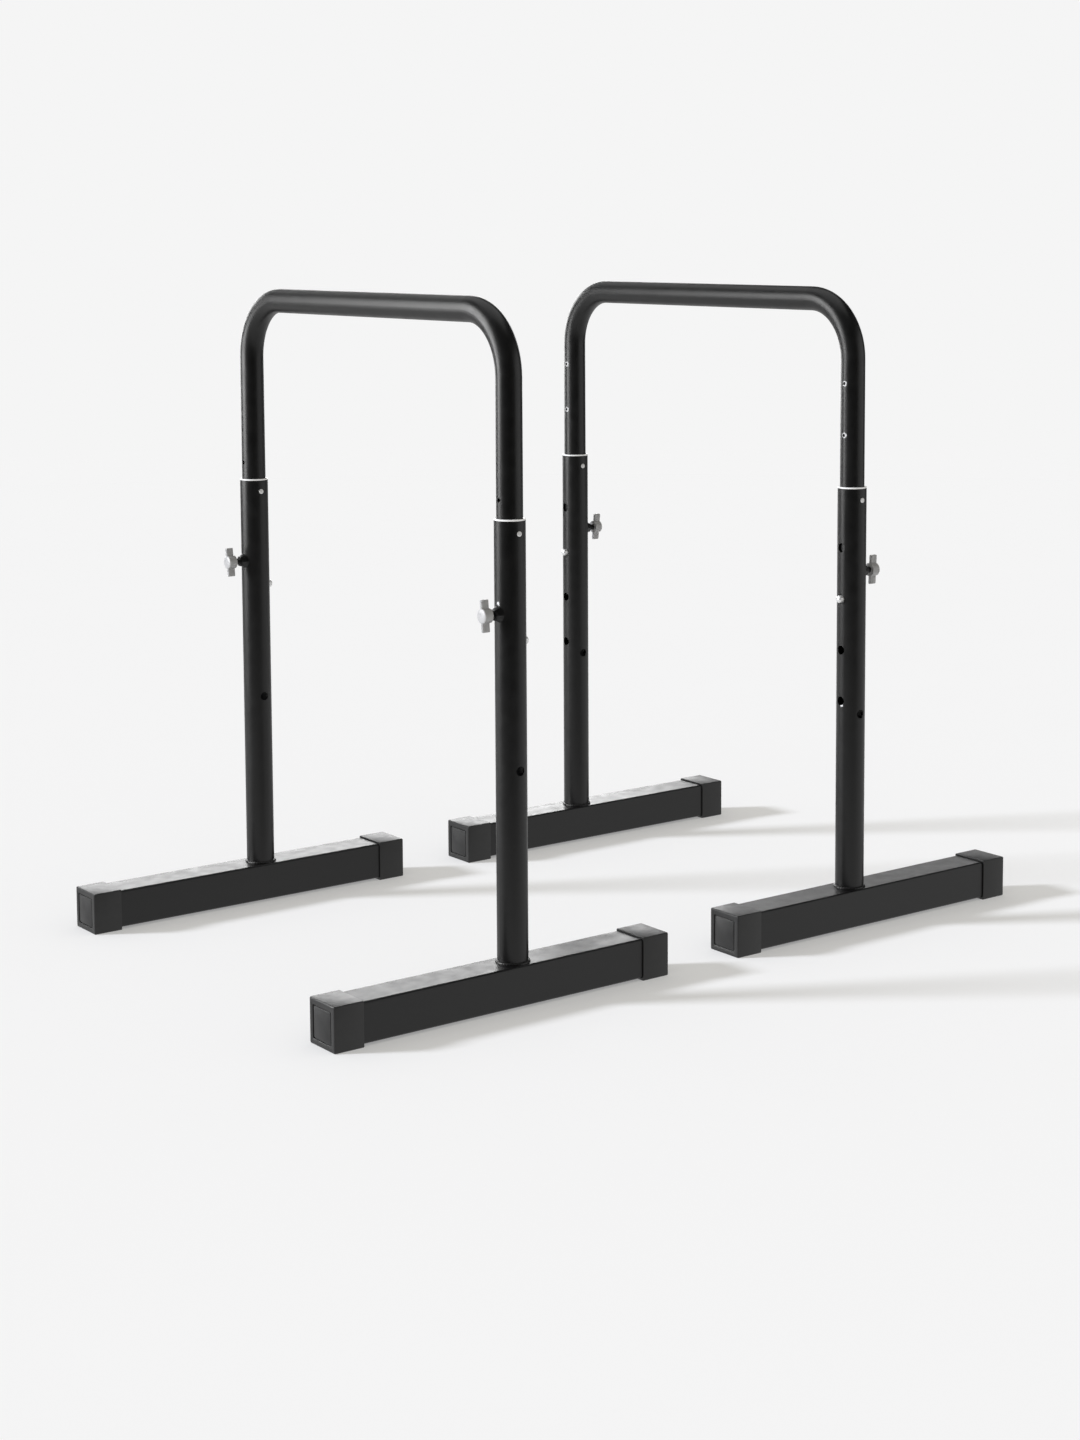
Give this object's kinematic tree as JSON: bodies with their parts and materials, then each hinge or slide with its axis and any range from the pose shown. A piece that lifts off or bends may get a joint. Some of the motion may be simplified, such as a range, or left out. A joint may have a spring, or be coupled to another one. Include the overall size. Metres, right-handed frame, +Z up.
{
  "type": "parallel bars",
  "caption": "Pair of free-standing steel dip bars with height-adjustable telescoping legs, clamp knobs, snap buttons and capped square feet.",
  "frame": {"origin": "on the floor, midway between the four legs", "axes": "+X from the left stand to the right one, +Y along the handrails towards the rear legs, +Z up"},
  "size_m": [1.095, 0.654, 0.851],
  "materials": {
    "black_powder_coat": "satin, fine orange peel",
    "cap_plastic": "fine-grained moulded",
    "bush_plastic": "moulded",
    "knob_plastic": "moulded",
    "knob_cap_plastic": "semi-gloss",
    "zinc_plated_steel": "bright zinc",
    "blackened_steel": "black oxide",
    "polished_steel": "polished",
    "spring_steel": "tempered strip"
  },
  "bodies": {
    "left_base": {"left_front_leg_tube": "black_powder_coat", "left_front_foot_tube": "black_powder_coat", "left_front_foot_weld": "black_powder_coat", "left_front_inner_foot_cap": "cap_plastic", "left_front_outer_foot_cap": "cap_plastic", "left_front_weld_nut": "black_powder_coat", "left_front_guide_bush": "bush_plastic", "left_front_bush_screws": "zinc_plated_steel", "left_rear_leg_tube": "black_powder_coat", "left_rear_foot_tube": "black_powder_coat", "left_rear_foot_weld": "black_powder_coat", "left_rear_inner_foot_cap": "cap_plastic", "left_rear_outer_foot_cap": "cap_plastic", "left_rear_weld_nut": "black_powder_coat", "left_rear_guide_bush": "bush_plastic", "left_rear_bush_screws": "zinc_plated_steel"},
    "right_base": {"right_front_leg_tube": "black_powder_coat", "right_front_foot_tube": "black_powder_coat", "right_front_foot_weld": "black_powder_coat", "right_front_inner_foot_cap": "cap_plastic", "right_front_outer_foot_cap": "cap_plastic", "right_front_weld_nut": "black_powder_coat", "right_front_guide_bush": "bush_plastic", "right_front_bush_screws": "zinc_plated_steel", "right_rear_leg_tube": "black_powder_coat", "right_rear_foot_tube": "black_powder_coat", "right_rear_foot_weld": "black_powder_coat", "right_rear_inner_foot_cap": "cap_plastic", "right_rear_outer_foot_cap": "cap_plastic", "right_rear_weld_nut": "black_powder_coat", "right_rear_guide_bush": "bush_plastic", "right_rear_bush_screws": "zinc_plated_steel"},
    "left_frame": {"left_upper_frame": "black_powder_coat", "left_front_snap_spring": "spring_steel", "left_rear_snap_spring": "spring_steel"},
    "right_frame": {"right_upper_frame": "black_powder_coat", "right_front_snap_spring": "spring_steel", "right_rear_snap_spring": "spring_steel"},
    "left_front_stud": {"left_front_knob_stud": "blackened_steel"},
    "left_front_knob": {"left_front_knob": "knob_plastic", "left_front_knob_cap": "knob_cap_plastic"},
    "left_front_button": {"left_front_snap_button": "polished_steel"},
    "left_rear_stud": {"left_rear_knob_stud": "blackened_steel"},
    "left_rear_knob": {"left_rear_knob": "knob_plastic", "left_rear_knob_cap": "knob_cap_plastic"},
    "left_rear_button": {"left_rear_snap_button": "polished_steel"},
    "right_front_stud": {"right_front_knob_stud": "blackened_steel"},
    "right_front_knob": {"right_front_knob": "knob_plastic", "right_front_knob_cap": "knob_cap_plastic"},
    "right_front_button": {"right_front_snap_button": "polished_steel"},
    "right_rear_stud": {"right_rear_knob_stud": "blackened_steel"},
    "right_rear_knob": {"right_rear_knob": "knob_plastic", "right_rear_knob_cap": "knob_cap_plastic"},
    "right_rear_button": {"right_rear_snap_button": "polished_steel"}
  },
  "joints": [
    {"name": "stand_spacing", "type": "slide", "parent": "left_base", "child": "right_base", "axis": [1, 0, 0], "range_m": [-0.1, 0.15]},
    {"name": "left_height", "type": "slide", "parent": "left_base", "child": "left_frame", "axis": [0, 0, 1], "range_m": [-0.136, 0.068], "deforming": ["left_front_snap_button", "left_rear_snap_button"]},
    {"name": "left_front_stud_travel", "type": "slide", "parent": "left_base", "child": "left_front_stud", "axis": [-1, 0, 0], "range_m": [0, 0.005]},
    {"name": "left_front_knob_turn", "type": "hinge", "parent": "left_front_stud", "child": "left_front_knob", "pos_m": [-0.278, -0.3, 0.4765], "axis": [-1, 0, 0], "range_deg": [-0.5, 1440.5]},
    {"name": "left_front_button_press", "type": "slide", "parent": "left_frame", "child": "left_front_button", "axis": [-1, 0, 0], "range_m": [0, 0.0088], "stiffness_N_per_m": 1500, "deforming": ["left_front_snap_spring"]},
    {"name": "left_rear_stud_travel", "type": "slide", "parent": "left_base", "child": "left_rear_stud", "axis": [-1, 0, 0], "range_m": [-0.0025, 0.0025]},
    {"name": "left_rear_knob_turn", "type": "hinge", "parent": "left_rear_stud", "child": "left_rear_knob", "pos_m": [-0.278, 0.3, 0.4765], "axis": [-1, 0, 0], "range_deg": [-720.5, 720.5]},
    {"name": "left_rear_button_press", "type": "slide", "parent": "left_frame", "child": "left_rear_button", "axis": [-1, 0, 0], "range_m": [0, 0.0088], "stiffness_N_per_m": 1500, "deforming": ["left_rear_snap_spring"]},
    {"name": "right_height", "type": "slide", "parent": "right_base", "child": "right_frame", "axis": [0, 0, 1], "range_m": [-0.136, 0.068], "deforming": ["right_front_snap_button", "right_rear_snap_button"]},
    {"name": "right_front_stud_travel", "type": "slide", "parent": "right_base", "child": "right_front_stud", "axis": [1, 0, 0], "range_m": [-0.00125, 0.00375]},
    {"name": "right_front_knob_turn", "type": "hinge", "parent": "right_front_stud", "child": "right_front_knob", "pos_m": [0.278, -0.3, 0.4765], "axis": [1, 0, 0], "range_deg": [-360.5, 1080.5]},
    {"name": "right_front_button_press", "type": "slide", "parent": "right_frame", "child": "right_front_button", "axis": [1, 0, 0], "range_m": [0, 0.0088], "stiffness_N_per_m": 1500, "deforming": ["right_front_snap_spring"]},
    {"name": "right_rear_stud_travel", "type": "slide", "parent": "right_base", "child": "right_rear_stud", "axis": [1, 0, 0], "range_m": [-0.0025, 0.0025]},
    {"name": "right_rear_knob_turn", "type": "hinge", "parent": "right_rear_stud", "child": "right_rear_knob", "pos_m": [0.278, 0.3, 0.4765], "axis": [1, 0, 0], "range_deg": [-720.5, 720.5]},
    {"name": "right_rear_button_press", "type": "slide", "parent": "right_frame", "child": "right_rear_button", "axis": [1, 0, 0], "range_m": [0, 0.0088], "stiffness_N_per_m": 1500, "deforming": ["right_rear_snap_spring"]}
  ],
  "couplings": [
    {"joint": "left_front_knob_turn", "follows": "left_front_stud_travel", "rad_per_m": 5026.5},
    {"joint": "left_rear_knob_turn", "follows": "left_rear_stud_travel", "rad_per_m": 5026.5},
    {"joint": "right_front_knob_turn", "follows": "right_front_stud_travel", "rad_per_m": 5026.5},
    {"joint": "right_rear_knob_turn", "follows": "right_rear_stud_travel", "rad_per_m": 5026.5}
  ]
}
